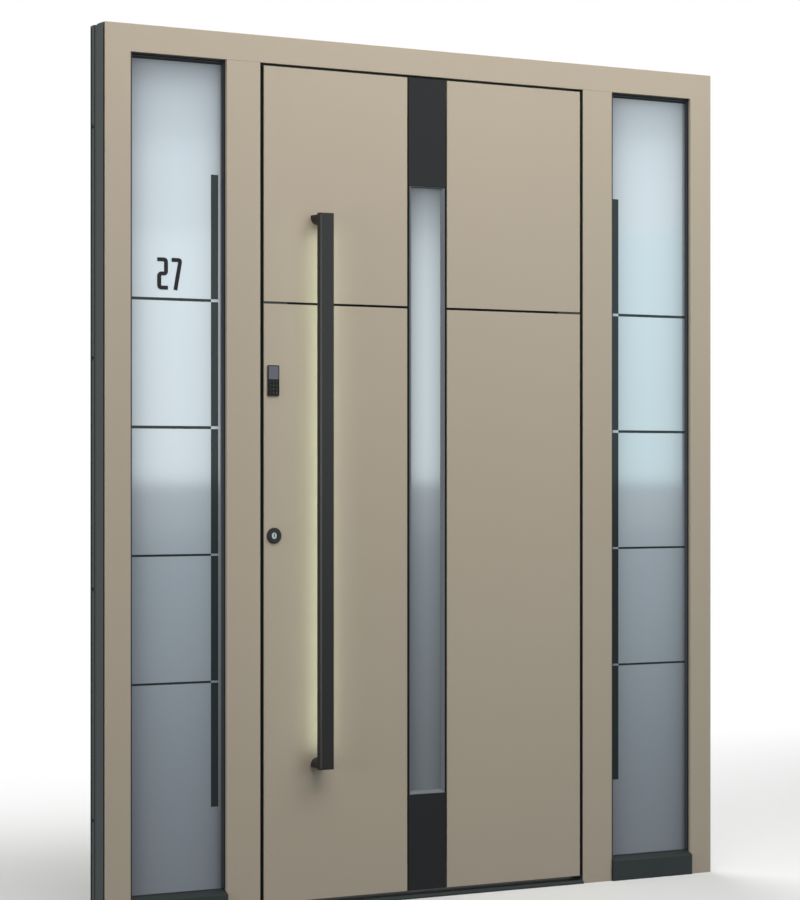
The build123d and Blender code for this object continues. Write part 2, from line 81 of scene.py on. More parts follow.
def span(tree, value, low, high, smooth=False):
    # 0 at low, 1 at high
    node = tree.nodes.new("ShaderNodeMapRange")
    node.interpolation_type = "SMOOTHSTEP" if smooth else "LINEAR"
    for socket, amount in zip(node.inputs, (value, low, high)):
        join(tree, amount, socket)
    return node.outputs["Result"]


def blendColor(tree, share, first, second):
    node = tree.nodes.new("ShaderNodeMix")
    node.data_type = "RGBA"
    join(tree, share, node.inputs["Factor"])
    join(tree, first, node.inputs["A"])
    join(tree, second, node.inputs["B"])
    return node.outputs["Result"]


def scaleColor(tree, color, amount):
    node = tree.nodes.new("ShaderNodeVectorMath")
    node.operation = "SCALE"
    tree.links.new(color, node.inputs[0])
    join(tree, amount, node.inputs["Scale"])
    return node.outputs[0]


def startGroup(name, inputs, outputs):
    group = bpy.data.node_groups.new(name, "ShaderNodeTree")
    for label, kind, value in inputs:
        socket = group.interface.new_socket(name=label, in_out="INPUT", socket_type="NodeSocket" + kind)
        socket.default_value = value
    for label, kind in outputs:
        group.interface.new_socket(name=label, in_out="OUTPUT", socket_type="NodeSocket" + kind)
    return group, group.nodes.new("NodeGroupInput").outputs, group.nodes.new("NodeGroupOutput").inputs


# powder coat and moulded skins: fine grain in tone, gloss and height, with a slow drift of tone
powderPattern = {"fineDetail": 3.0, "driftScale": 1.7}


def makePowderGrain():
    group, given, made = startGroup(
        "powderGrain",
        (("Color", "Color", (0.5, 0.5, 0.5, 1)), ("Grain", "Float", 900.0), ("Tone Depth", "Float", 0.06),
         ("Gloss Level", "Float", 0.5), ("Gloss Range", "Float", 0.1)),
        (("Color", "Color"), ("Roughness", "Float"), ("Height", "Float")))
    place = group.nodes.new("ShaderNodeTexCoord").outputs["Object"]
    fine = noise(group, place, given["Grain"], powderPattern["fineDetail"])
    drift = noise(group, place, powderPattern["driftScale"])
    spread = calc(group, "ADD", calc(group, "SUBTRACT", fine, 0.5), calc(group, "SUBTRACT", drift, 0.5))
    tone = calc(group, "ADD", 1.0, calc(group, "MULTIPLY", spread, given["Tone Depth"]))
    group.links.new(scaleColor(group, given["Color"], tone), made["Color"])
    sway = calc(group, "MULTIPLY", calc(group, "SUBTRACT", fine, 0.5), given["Gloss Range"])
    group.links.new(calc(group, "ADD", given["Gloss Level"], sway), made["Roughness"])
    group.links.new(fine, made["Height"])
    return group


# brushed metal: noise drawn out along one axis
hairlinePattern = {"scale": 1.0, "detail": 4.0}


def makeHairline():
    group, given, made = startGroup(
        "hairline",
        (("Stretch", "Vector", (900.0, 900.0, 30.0)), ("Gloss Level", "Float", 0.3),
         ("Gloss Range", "Float", 0.15)),
        (("Roughness", "Float"), ("Height", "Float")))
    place = group.nodes.new("ShaderNodeTexCoord").outputs["Object"]
    drawn = group.nodes.new("ShaderNodeVectorMath")
    drawn.operation = "MULTIPLY"
    group.links.new(place, drawn.inputs[0])
    group.links.new(given["Stretch"], drawn.inputs[1])
    line = noise(group, drawn.outputs[0], hairlinePattern["scale"], hairlinePattern["detail"])
    sway = calc(group, "MULTIPLY", calc(group, "SUBTRACT", line, 0.5), given["Gloss Range"])
    group.links.new(calc(group, "ADD", given["Gloss Level"], sway), made["Roughness"])
    group.links.new(line, made["Height"])
    return group


# satin etched glass: a painted light grade, darker at the foot and lighter at the head, a very fine speckle,
# and painted shade that makes it dimmer and duller towards its frame
# how far the painted shade reaches in from the sides and from the head; grit and cloud are the etch's own
# speckle
etchPattern = {"sidePaintedShadeReach": 0.035, "topPaintedShadeReach": 0.11, "gritScale": 2600.0, "gritDetail": 1.0, "cloudScale": 3.5}


def makeEtchWithPaintedShade():
    group, given, made = startGroup(
        "etchWithPaintedShade",
        (("Foot Color Painted Shade", "Color", (0.3, 0.3, 0.3, 1)), ("Head Color Painted Light", "Color", (0.6, 0.6, 0.6, 1)),
         ("Foot Height", "Float", 0.0), ("Head Height", "Float", 2.2), ("Speckle", "Float", 0.04),
         ("Near Side", "Float", 0.0), ("Far Side", "Float", 1.0), ("Top", "Float", 2.2),
         ("Side Painted Shade", "Float", 0.0), ("Top Painted Shade", "Float", 0.0), ("Coat Level", "Float", 1.0)),
        (("Color", "Color"), ("Coat", "Float"), ("Height", "Float")))
    place = group.nodes.new("ShaderNodeTexCoord").outputs["Object"]
    axes = group.nodes.new("ShaderNodeSeparateXYZ")
    group.links.new(place, axes.inputs[0])
    # painted light grade from the foot colour to the head colour, standing in for the light falling on the
    # glass
    rise = span(group, axes.outputs["Z"], given["Foot Height"], given["Head Height"], smooth=True)
    tintPaintedGrade = blendColor(group, rise, given["Foot Color Painted Shade"], given["Head Color Painted Light"])

    def paintShade(distance, length, depth):
        # painted shade: falls off from its depth at the edge to nothing further in
        fall = calc(group, "EXPONENT", calc(group, "DIVIDE", distance, -length), 0.0)
        return calc(group, "SUBTRACT", 1.0, calc(group, "MULTIPLY", fall, depth))

    # painted shade near the pane's sides, from the distance to the nearer side
    across = calc(group, "ABSOLUTE", axes.outputs["X"], 0.0)
    nearest = calc(group, "MINIMUM", calc(group, "SUBTRACT", across, given["Near Side"]),
                   calc(group, "SUBTRACT", given["Far Side"], across))
    sides = paintShade(nearest, etchPattern["sidePaintedShadeReach"], given["Side Painted Shade"])
    # painted shadow under the head, from the distance below the top
    below = calc(group, "SUBTRACT", given["Top"], axes.outputs["Z"])
    top = paintShade(below, etchPattern["topPaintedShadeReach"], given["Top Painted Shade"])
    # both painted shades together darken the tint
    shade = calc(group, "MULTIPLY", sides, top)
    grit = noise(group, place, etchPattern["gritScale"], etchPattern["gritDetail"])
    cloud = noise(group, place, etchPattern["cloudScale"])
    spread = calc(group, "ADD", calc(group, "SUBTRACT", grit, 0.5), calc(group, "SUBTRACT", cloud, 0.5))
    tone = calc(group, "ADD", 1.0, calc(group, "MULTIPLY", spread, given["Speckle"]))
    group.links.new(scaleColor(group, tintPaintedGrade, calc(group, "MULTIPLY", tone, shade)), made["Color"])
    # the painted shade also lowers the coat, a painted dimming of the reflection near the frame
    group.links.new(calc(group, "MULTIPLY", shade, given["Coat Level"]), made["Coat"])
    group.links.new(grit, made["Height"])
    return group


powderGrain = makePowderGrain()
hairline = makeHairline()
etchWithPaintedShade = makeEtchWithPaintedShade()
print("shared finishes ready")


def newMaterial(name, plain):
    material = bpy.data.materials.new(name)
    material.use_nodes = True
    tree = material.node_tree
    shader = tree.nodes["Principled BSDF"]
    for label, value in plain.items():
        shader.inputs[label].default_value = value
    return material, tree, shader


def useGroup(tree, group, given):
    node = tree.nodes.new("ShaderNodeGroup")
    node.node_tree = group
    for label, value in given.items():
        node.inputs[label].default_value = value
    return node.outputs


bumpDepths = {"powder": 0.0004, "hairline": 0.0002, "etch": 0.0002}


def addBump(tree, shader, height, strength, depth):
    bump = tree.nodes.new("ShaderNodeBump")
    bump.inputs["Strength"].default_value = strength
    bump.inputs["Distance"].default_value = depth
    tree.links.new(height, bump.inputs["Height"])
    tree.links.new(bump.outputs["Normal"], shader.inputs["Normal"])


def coated(name, look):
    # powder coats, plastics and rubber
    material, tree, shader = newMaterial(name, {"Specular IOR Level": look["shine"]})
    out = useGroup(tree, powderGrain, {
        "Color": look["color"], "Grain": look["grain"], "Tone Depth": look["toneDepth"],
        "Gloss Level": look["roughness"], "Gloss Range": look["roughRange"]})
    tree.links.new(out["Color"], shader.inputs["Base Color"])
    tree.links.new(out["Roughness"], shader.inputs["Roughness"])
    addBump(tree, shader, out["Height"], look["bump"], bumpDepths["powder"])
    return material


def brushed(name, look):
    material, tree, shader = newMaterial(name, {"Base Color": look["color"], "Metallic": 1.0})
    out = useGroup(tree, hairline, {
        "Stretch": look["stretch"], "Gloss Level": look["roughness"], "Gloss Range": look["roughRange"]})
    tree.links.new(out["Roughness"], shader.inputs["Roughness"])
    addBump(tree, shader, out["Height"], look["bump"], bumpDepths["hairline"])
    return material


def etched(name, look):
    material, tree, shader = newMaterial(name, {
        "Roughness": look["roughness"], "Transmission Weight": look["through"],
        "Coat Roughness": look["coatRoughness"], "Coat IOR": look["coatIor"]})
    out = useGroup(tree, etchWithPaintedShade, {
        "Foot Color Painted Shade": look["footColorPaintedShade"], "Head Color Painted Light": look["headColorPaintedLight"],
        "Foot Height": look["footHeight"], "Head Height": look["headHeight"], "Speckle": look["speckle"],
        "Near Side": look["nearSide"], "Far Side": look["farSide"], "Top": look["top"],
        "Side Painted Shade": look["sidePaintedShade"], "Top Painted Shade": look["topPaintedShade"], "Coat Level": look["coat"]})
    tree.links.new(out["Color"], shader.inputs["Base Color"])
    if look["coat"]:                         # clear glass has none
        tree.links.new(out["Coat"], shader.inputs["Coat Weight"])
    addBump(tree, shader, out["Height"], look["bump"], bumpDepths["etch"])
    return material


beigeLook = {"color": rgb(173, 160, 143), "grain": 850.0, "toneDepth": 0.05,
             "roughness": 0.55, "roughRange": 0.12, "bump": 0.12, "shine": 0.3}
anthraciteLook = {"color": rgb(63, 70, 68), "grain": 900.0, "toneDepth": 0.1,
                  "roughness": 0.55, "roughRange": 0.12, "bump": 0.15, "shine": 0.3}
inlayLook = {"color": rgb(46, 46, 47), "grain": 1500.0, "toneDepth": 0.06,
             "roughness": 0.42, "roughRange": 0.08, "bump": 0.05, "shine": 0.05}
trimLook = {"color": rgb(101, 107, 112), "grain": 1300.0, "toneDepth": 0.06,
            "roughness": 0.35, "roughRange": 0.1, "bump": 0.05, "shine": 0.4}
barLook = {"color": rgb(44, 44, 43), "grain": 1200.0, "toneDepth": 0.08,
           "roughness": 0.34, "roughRange": 0.08, "bump": 0.06, "shine": 0.13}
# polished edges: glossier than the bar, and a little lighter in colour as a painted highlight
barEdgeHighlightLook = {"color": rgb(52, 52, 50), "grain": 1200.0, "toneDepth": 0.05,
               "roughness": 0.2, "roughRange": 0.05, "bump": 0.03, "shine": 0.34}
rubberLook = {"color": rgb(40, 41, 45), "grain": 1600.0, "toneDepth": 0.1,
              "roughness": 0.4, "roughRange": 0.12, "bump": 0.12, "shine": 0.3}
coreLook = {"color": rgb(30, 30, 31), "grain": 400.0, "toneDepth": 0.15,
            "roughness": 0.8, "roughRange": 0.1, "bump": 0.2, "shine": 0.1}
keypadLook = {"color": rgb(32, 31, 31), "grain": 1800.0, "toneDepth": 0.08,
              "roughness": 0.34, "roughRange": 0.08, "bump": 0.06, "shine": 0.08}
screenLook = {"color": rgb(90, 90, 101), "grain": 2200.0, "toneDepth": 0.04,
              "roughness": 0.16, "roughRange": 0.05, "bump": 0.0, "shine": 0.12}
steelLook = {"color": rgb(186, 186, 184), "stretch": (1200.0, 1200.0, 40.0),
             "roughness": 0.32, "roughRange": 0.16, "bump": 0.08}
nickelLook = dict(steelLook, color=rgb(150, 154, 154), roughness=0.38)
# the sills and threshold: a darker copy of the anthracite coat, painted shade for the low light at the foot
sillShadedLook = dict(anthraciteLook, color=rgb(41, 47, 47))
# the frosted glass: its foot and head colours are a painted light grade, and its side and top values set the
# painted shade near the frame
frostLook = {"footColorPaintedShade": rgb(118, 125, 135), "headColorPaintedLight": rgb(164, 176, 187),
             "footHeight": -0.1, "headHeight": 1.15, "speckle": 0.04, "roughness": 0.55, "through": 0.12,
             "coat": 1.0, "coatRoughness": 0.065, "coatIor": 1.9, "bump": 0.05,
             "nearSide": 0.5985, "farSide": 0.854, "top": 2.174, "sidePaintedShade": 0.55, "topPaintedShade": 0.5}
# the column's pane: a darker copy of the frosted glass with stronger painted shade at its head, painted
# shade for its deep recessed strip
columnShadedFrostLook = dict(frostLook, footColorPaintedShade=rgb(106, 112, 118), headColorPaintedLight=rgb(152, 163, 172),
                  footHeight=0.2, headHeight=1.3,
                  nearSide=-1.0, farSide=0.045, top=1.8835, sidePaintedShade=0.45, topPaintedShade=0.75)
clearLook = {"footColorPaintedShade": rgb(214, 224, 226), "headColorPaintedLight": rgb(222, 232, 234),
             "footHeight": 0.1, "headHeight": 2.1, "speckle": 0.01, "roughness": 0.02, "through": 0.95,
             "coat": 0.0, "coatRoughness": 0.03, "coatIor": 1.5, "bump": 0.0,
             "nearSide": -1.0, "farSide": 1.0, "top": 2.3, "sidePaintedShade": 0.0, "topPaintedShade": 0.0}
lightLook = {"color": rgb(244, 244, 232), "glow": (0.84, 1.0, 0.84, 1.0), "strength": 4.4,
             "roughness": 0.5, "patchScale": 60.0, "patchRange": (0.2, 0.8), "dimmest": 0.92}


def lightDiffuser(name, look):
    # milky strip with a slightly uneven glow
    material, tree, shader = newMaterial(name, {
        "Base Color": look["color"], "Roughness": look["roughness"], "Emission Strength": look["strength"]})
    place = tree.nodes.new("ShaderNodeTexCoord").outputs["Object"]
    uneven = span(tree, noise(tree, place, look["patchScale"]), *look["patchRange"])
    glow = blendColor(tree, uneven, tuple(part * look["dimmest"] for part in look["glow"]), look["glow"])
    tree.links.new(glow, shader.inputs["Emission Color"])
    return material


finishes = {
    "beige_coat": coated("beigePowderCoat", beigeLook),
    "anthracite_coat": coated("anthracitePowderCoat", anthraciteLook),
    "black_inlay": coated("blackInlay", inlayLook),
    "grey_trim": coated("greyTrim", trimLook),
    "black_bar": coated("blackBarCoat", barLook),
    "frosted_glass": etched("frostedGlass", frostLook),
    "clear_glass": etched("clearGlass", clearLook),
    "black_rubber": coated("gasketRubber", rubberLook),
    "leaf_core": coated("foamCore", coreLook),
    "warm_light": lightDiffuser("warmDiffuser", lightLook),
    "satin_steel": brushed("satinSteel", steelLook),
    "keypad_black": coated("keypadPlastic", keypadLook),
    "keypad_screen": coated("keypadGlass", screenLook),
}

# darker anthracite for the sills and threshold: painted shade
sillShadedCoat = coated("anthraciteSillPaintedShade", sillShadedLook)
ownFinishes = {                # nodes that differ a little from the rest of their slot
    "left_sidelight_sill": sillShadedCoat,
    "right_sidelight_sill": sillShadedCoat,
    "threshold": sillShadedCoat,
    "column_pane_outer": etched("columnFrostedGlassPaintedShade", columnShadedFrostLook),
    "lock_cylinder": brushed("satinNickel", nickelLook),
}
for part in frame["record"]["subparts"]:
    mesh = nodes[part["node"]].data
    mesh.materials.clear()
    mesh.materials.append(ownFinishes.get(part["node"], finishes[part["material_slot"]]))


# pieces made here
def addPiece(name, bm, material, body):
    bmesh.ops.recalc_face_normals(bm, faces=bm.faces)
    mesh = bpy.data.meshes.new(name)
    bm.to_mesh(mesh)
    bm.free()
    mesh.materials.append(material)
    piece = bpy.data.objects.new(name, mesh)
    bpy.context.collection.objects.link(piece)
    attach(piece, body)
    return piece


def addSlab(bm, low, high):
    low, high = Vector(low), Vector(high)
    place = Matrix.Translation((low + high) / 2) @ Matrix.Diagonal((*(high - low), 1))
    bmesh.ops.create_cube(bm, size=1, matrix=place)


# clear lines and the clear band left in the etched glass of both sidelights, drawn as a thin dark glossy
# film whose dark is painted shade standing in for the dark inside seen through the clear glass
clearLines = {
    "heights": (1.566, 1.2425, 0.919, 0.5955),
    "thicknesses": (0.0073, 0.0073, 0.0055, 0.0055),
    "bandWidth": 0.0205,
    "bandEnds": (0.277, 1.887),
    "glassBorder": 0.030,      # from the pane's hidden edge to the band
    "lineBorder": 0.021,       # and to the gasket
    "skin": 0.0003,
    # the film's dark colour is painted shade for the inside seen through the lines
    "look": {"color": rgb(44, 51, 52), "grain": 300.0, "toneDepth": 0.05,
             "roughness": 0.08, "roughRange": 0.02, "bump": 0.0, "shine": 0.085},
}
clearLineDarkFilm = coated("clearLinePaintedShade", clearLines["look"])


def addClearLines(side, sign):
    low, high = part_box(side + "_sidelight_outer_pane")
    faceY = low.y
    backY = faceY - clearLines["skin"]
    reach = sorted((abs(low.x), abs(high.x)))
    inner, outer = reach[0] + clearLines["glassBorder"], reach[1] - clearLines["lineBorder"]
    bandEdge = inner + clearLines["bandWidth"]
    lines = sorted(zip(clearLines["heights"], clearLines["thicknesses"]))
    bm = bmesh.new()

    def strip(x0, x1, z0, z1):
        ends = sorted((sign * x0, sign * x1))
        addSlab(bm, (ends[0], backY, z0), (ends[1], faceY, z1))

    stops = [clearLines["bandEnds"][0]]
    for z, thickness in lines:
        strip(bandEdge, outer, z - thickness / 2, z + thickness / 2)
        stops += [z - thickness / 2, z + thickness / 2]
    stops.append(clearLines["bandEnds"][1])
    for z0, z1 in zip(stops[::2], stops[1::2]):
        strip(inner, bandEdge, z0, z1)
    addPiece(side + "ClearLines", bm, clearLineDarkFilm, "frame")


addClearLines("left", -1)
addClearLines("right", 1)
print("clear lines in place")


# house number on the left sidelight: plain stroked digits standing over the top line
houseNumber = {
    "left": -0.778,
    "foot": 0.0236,            # above the top clear line
    "height": 0.081,
    "digitWidth": 0.029,
    "gap": 0.011,
    "stroke": 0.010,
    "cornerRound": 0.007,
    "depth": 0.0015,
}


def roundCorners(corners, reach, steps=6):
    # each turn becomes a short curve that starts and ends this far from the corner
    points = [corners[0]]
    for before, corner, after in zip(corners, corners[1:], corners[2:]):
        start = corner + (before - corner).normalized() * reach
        end = corner + (after - corner).normalized() * reach
        for step in range(steps + 1):
            share = step / steps
            points.append(start * (1 - share) ** 2 + corner * (2 * share * (1 - share)) + end * share ** 2)
    return points + [corners[-1]]


def addStroke(bm, points, width, faceY, depth):
    # a flat ribbon with mitred turns, given a thickness
    sides = []
    for index, point in enumerate(points):
        first, last = points[max(index - 1, 0)], points[min(index + 1, len(points) - 1)]
        into = (point - first).normalized() if index else (last - point).normalized()
        out = (last - point).normalized() if index < len(points) - 1 else into
        along = (into + out).normalized()
        across = Vector((-along.y, along.x)) * (width / 2 / max(along.dot(out), 0.5))
        sides.append((point + across, point - across))
    rows = []
    for y in (faceY, faceY - depth):
        rows.append([[bm.verts.new((edge.x, y, edge.y)) for edge in pair] for pair in sides])
    back, front = rows
    for index in range(len(points) - 1):
        for row in rows:
            bm.faces.new((row[index][0], row[index + 1][0], row[index + 1][1], row[index][1]))
        for edge in (0, 1):
            bm.faces.new((back[index][edge], back[index + 1][edge],
                          front[index + 1][edge], front[index][edge]))
    for index in (0, -1):
        bm.faces.new((back[index][0], back[index][1], front[index][1], front[index][0]))


def addHouseNumber():
    look = houseNumber
    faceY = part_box("left_sidelight_outer_pane")[0].y
    edge = look["stroke"] / 2
    top, bottom = look["height"] - edge, edge
    left, right = edge, look["digitWidth"] - edge
    middle = look["height"] / 2
    two = [(left, top), (right, top), (right, middle), (left, middle), (left, bottom), (right, bottom)]
    seven = [(left, top), (right, top), (left + edge, 0)]
    bm = bmesh.new()
    for place, outline in enumerate((two, seven)):
        shift = Vector((look["left"] + place * (look["digitWidth"] + look["gap"]),
                        clearLines["heights"][0] + look["foot"]))
        ends = [Vector(corner) for corner in outline]
        if place == 0:                       # square stroke ends reach past their middle
            ends[-1].x += edge
        ends[0].x -= edge
        path = roundCorners([shift + corner for corner in ends], look["cornerRound"])
        addStroke(bm, path, look["stroke"], faceY, look["depth"])
    addPiece("houseNumber", bm, finishes["black_inlay"], "frame")


addHouseNumber()
print("house number in place")


# pull bar: polished long edges, a little lighter than the bar as a painted highlight, and a light-guide bead
# along both edges of its back
barTrim = {"chamfer": 0.0035, "skin": 0.00015, "skinTaper": 0.00003, "endGap": 0.0045,
           "bead": 0.002, "beadInset": 0.0025, "beadMargin": 0.045, "beadSteps": 5}
beadLook = dict(lightLook, strength=7.5)


def addPrism(bm, outline, z0, z1):
    # an upright prism over a flat outline
    low = [bm.verts.new((x, y, z0)) for x, y in outline]
    high = [bm.verts.new((x, y, z1)) for x, y in outline]
    bm.faces.new(low)
    bm.faces.new(high)
    for index in range(len(outline)):
        following = (index + 1) % len(outline)
        bm.faces.new((low[index], low[following], high[following], high[index]))


def addBarTrim():
    low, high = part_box("pull_bar")
    cut, taper, bead, steps = barTrim["chamfer"], barTrim["skinTaper"], barTrim["bead"], barTrim["beadSteps"]
    shift = barTrim["skin"] / math.sqrt(2)
    edges, beads = bmesh.new(), bmesh.new()
    for side, inward in ((low.x, 1), (high.x, -1)):
        front = [(side, low.y + cut), (side + inward * cut, low.y)]
        outline = front + [(front[1][0] - inward * shift, front[1][1] - shift + taper),
                           (front[0][0] - inward * (shift - taper), front[0][1] - shift)]
        addPrism(edges, outline, low.z + barTrim["endGap"], high.z - barTrim["endGap"])
        start = side + inward * barTrim["beadInset"]
        arc = [(start + inward * bead * (1 - math.cos(math.pi / 2 * step / steps)),
                high.y + bead * math.sin(math.pi / 2 * step / steps)) for step in range(steps + 1)]
        addPrism(beads, arc + [(start + inward * bead, high.y)],
                 low.z + barTrim["beadMargin"], high.z - barTrim["beadMargin"])
    addPiece("barPolishedHighlightEdges", edges, coated("barPolishHighlight", barEdgeHighlightLook), "leaf")
    addPiece("barLightBeads", beads, lightDiffuser("beadDiffuser", beadLook), "leaf")


addBarTrim()
print("bar edges and light beads in place")


# lip of the glazing gasket under the head, sloping back to the glass; its black is partly real gasket and
# partly painted shadow of the head on the glass
headLipAndShadow = {"drop": 0.007, "rise": 0.0045, "overlap": 0.001, "upright": 0.0021, "edge": 0.0005}


def addHeadLipsAndShadow():
    bm = bmesh.new()
    for side in ("left", "right"):
        low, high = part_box(side + "_sidelight_outer_pane")
        border = clearLines["lineBorder"]
        top = high.z - border + headLipAndShadow["overlap"]
        foot, nose = top - headLipAndShadow["drop"], low.y - headLipAndShadow["rise"]
        outline = [(low.y, top), (nose, top), (nose, top - headLipAndShadow["upright"]),
                   (low.y - headLipAndShadow["edge"], foot), (low.y, foot)]
        rings = [[bm.verts.new((x, y, z)) for y, z in outline] for x in (low.x + border, high.x - border)]
        for ring in rings:
            bm.faces.new(ring)
        for index in range(len(outline)):
            following = (index + 1) % len(outline)
            bm.faces.new((rings[0][index], rings[0][following], rings[1][following], rings[1][index]))
    addPiece("headGasketLipsAndShadow", bm, finishes["black_rubber"], "frame")


addHeadLipsAndShadow()


# thin dark seal on the cover that bounds each sidelight at its left; its dark line is partly real seal and
# partly a painted reflection of the dark reveal in the glass beside it
coverSealAndPaintedLine = {"covers": ("left_jamb_cover", "right_mullion_cover"),
             "width": 0.0032, "overlap": 0.0005, "setback": 0.0005, "depth": 0.004}


def addCoverSealAndPaintedLines():
    bm = bmesh.new()
    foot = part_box("left_sidelight_sill")[1].z
    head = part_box("head_cover")[0].z
    for name in coverSealAndPaintedLine["covers"]:
        low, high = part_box(name)
        front = low.y + coverSealAndPaintedLine["setback"]
        addSlab(bm, (high.x - coverSealAndPaintedLine["overlap"], front, foot),
                (high.x + coverSealAndPaintedLine["width"], front + coverSealAndPaintedLine["depth"], head))
    addPiece("coverSealsAndPaintedLines", bm, finishes["black_rubber"], "frame")


addCoverSealAndPaintedLines()
print("gasket lips and seals in place")


# screws on the hinges, the lock strip and its keeps
screwLook = {"radius": 0.0042, "rise": 0.0016, "socket": 0.0018, "socketDepth": 0.0012, "steps": 24,
             "profile": ((1.0, 0.0), (1.0, 0.3), (0.8, 0.85), (0.6, 1.0))}     # shares of radius and rise


def addScrew(bm, place, outward):
    # low domed head with a six-sided socket
    turn = Vector((0, 0, 1)).rotation_difference(Vector(outward))
    seat = Matrix.Translation(place) @ turn.to_matrix().to_4x4()
    radius, rise, socket = screwLook["radius"], screwLook["rise"], screwLook["socket"]
    loops = [(wide * radius, lift * rise, False) for wide, lift in screwLook["profile"]]
    loops += [(socket, rise, True), (socket, rise - screwLook["socketDepth"], True)]
    rings = []
    for size, height, sixSided in loops:
        ring = []
        for step in range(screwLook["steps"]):
            angle = 2 * math.pi * step / screwLook["steps"]
            reach = size
            if sixSided:
                reach *= math.cos(math.pi / 6) / math.cos(angle % (math.pi / 3) - math.pi / 6)
            spot = Vector((reach * math.cos(angle), reach * math.sin(angle), height))
            ring.append(bm.verts.new(seat @ spot))
        rings.append(ring)
    for lower, upper in zip(rings, rings[1:]):
        for step in range(len(lower)):
            following = (step + 1) % len(lower)
            bm.faces.new((lower[step], lower[following], upper[following], upper[step]))
    bm.faces.new(rings[-1])
    bm.faces.new(reversed(rings[0]))


def solidBoxes(name):
    # low and high corners of each separate solid in a node, from the foot up
    bm = bmesh.new()
    bm.from_mesh(nodes[name].data)
    bmesh.ops.remove_doubles(bm, verts=bm.verts, dist=1e-6)
    boxes, seen = [], set()
    for vert in bm.verts:
        if vert in seen:
            continue
        island, queue = [], [vert]
        seen.add(vert)
        while queue:
            here = queue.pop()
            island.append(here.co.copy())
            others = {edge.other_vert(here) for edge in here.link_edges} - seen
            seen |= others
            queue += others
        boxes.append((Vector([min(co[axis] for co in island) for axis in range(3)]),
                      Vector([max(co[axis] for co in island) for axis in range(3)])))
    bm.free()
    return sorted(boxes, key=lambda box: (round(box[0].z, 5), round(box[0].x, 5)))


hingeScrews = {"fromAxis": (0.021, 0.040), "fromFoot": (0.013, 0.037), "plate": 0.005, "barrel": 0.011}
stripScrews = {"endMargin": 0.020, "keepMargin": 0.012}


def addHingeScrews(name, node, body, side):
    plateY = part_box("left_jamb")[1].y + hingeScrews["plate"]
    bm = bmesh.new()
    for low, high in solidBoxes(node):
        nearEdge = low.x if side > 0 else high.x
        axisX = nearEdge + side * hingeScrews["barrel"]
        for across in hingeScrews["fromAxis"]:
            for rise in hingeScrews["fromFoot"]:
                addScrew(bm, (axisX + side * across, plateY, low.z + rise), (0, 1, 0))
    addPiece(name, bm, finishes["satin_steel"], body)


def addStripScrews():
    low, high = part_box("lock_strip")
    middleY = (low.y + high.y) / 2
    margin = stripScrews["endMargin"]
    bolts = [(box[0].z + box[1].z) / 2 for box in solidBoxes("lock_bolts")]
    heights = [low.z + margin, high.z - margin] + [(one + two) / 2 for one, two in zip(bolts, bolts[1:])]
    bm = bmesh.new()
    for z in heights:
        addScrew(bm, (low.x, middleY, z), (-1, 0, 0))
    addPiece("lockStripScrews", bm, finishes["satin_steel"], "leaf")
    bm = bmesh.new()
    for low, high in solidBoxes("lock_keeps"):
        for z in (low.z + stripScrews["keepMargin"], high.z - stripScrews["keepMargin"]):
            addScrew(bm, (high.x, middleY, z), (1, 0, 0))
    addPiece("keepScrews", bm, finishes["satin_steel"], "frame")


addHingeScrews("hingeScrewsFrame", "hinge_frame_halves", "frame", 1)
addHingeScrews("hingeScrewsLeaf", "hinge_leaf_halves", "leaf", -1)
addStripScrews()
print("screws in place")


# signs on the keypad's keys, thin and raised
keySigns = {"rows": ("*0#", "789", "456", "123"), "size": 0.0052, "rise": 0.00015, "curveSteps": 3,
            "look": {"color": rgb(96, 98, 102), "grain": 1500.0, "toneDepth": 0.04,
                     "roughness": 0.45, "roughRange": 0.05, "bump": 0.0, "shine": 0.3}}
signPaint = coated("keySignPaint", keySigns["look"])


def addKeySigns():
    keys = solidBoxes("keypad_keys")
    bm = bmesh.new()
    signs = "".join(keySigns["rows"])
    for (low, high), sign in zip(keys, signs):
        curve = bpy.data.curves.new("sign", "FONT")
        curve.body = sign
        curve.size = keySigns["size"]
        curve.extrude = keySigns["rise"]
        curve.resolution_u = keySigns["curveSteps"]
        letter = bpy.data.objects.new("sign", curve)
        mesh = letter.to_mesh()
        spots = [vert.co for vert in mesh.vertices]
        middle = [(min(co[axis] for co in spots) + max(co[axis] for co in spots)) / 2 for axis in range(2)]
        place = (Matrix.Translation(((low.x + high.x) / 2, low.y, (low.z + high.z) / 2))
                 @ Matrix.Rotation(math.pi / 2, 4, "X") @ Matrix.Translation((-middle[0], -middle[1], 0)))
        mesh.transform(place)
        bm.from_mesh(mesh)
        letter.to_mesh_clear()
        bpy.data.objects.remove(letter)
        bpy.data.curves.remove(curve)
    bmesh.ops.remove_doubles(bm, verts=bm.verts, dist=1e-7)
    addPiece("keySigns", bm, signPaint, "leaf")


addKeySigns()
print("key signs in place")


# floor: pale, plain, white further away; it throws little light back on the door
floorLook = {"half": 40.0, "roughness": 0.9, "color": (0.80, 0.80, 0.80, 1), "bounce": (0.15, 0.15, 0.15, 1),
             "mirrored": (0.41, 0.42, 0.43, 1), "behind": (0.5, 3.5), "before": (-1.5, -4.0)}


def seenRay(tree):
    path = tree.nodes.new("ShaderNodeLightPath").outputs
    seen = calc(tree, "MAXIMUM", path["Is Camera Ray"], path["Is Glossy Ray"])
    return calc(tree, "MAXIMUM", seen, path["Is Transmission Ray"])


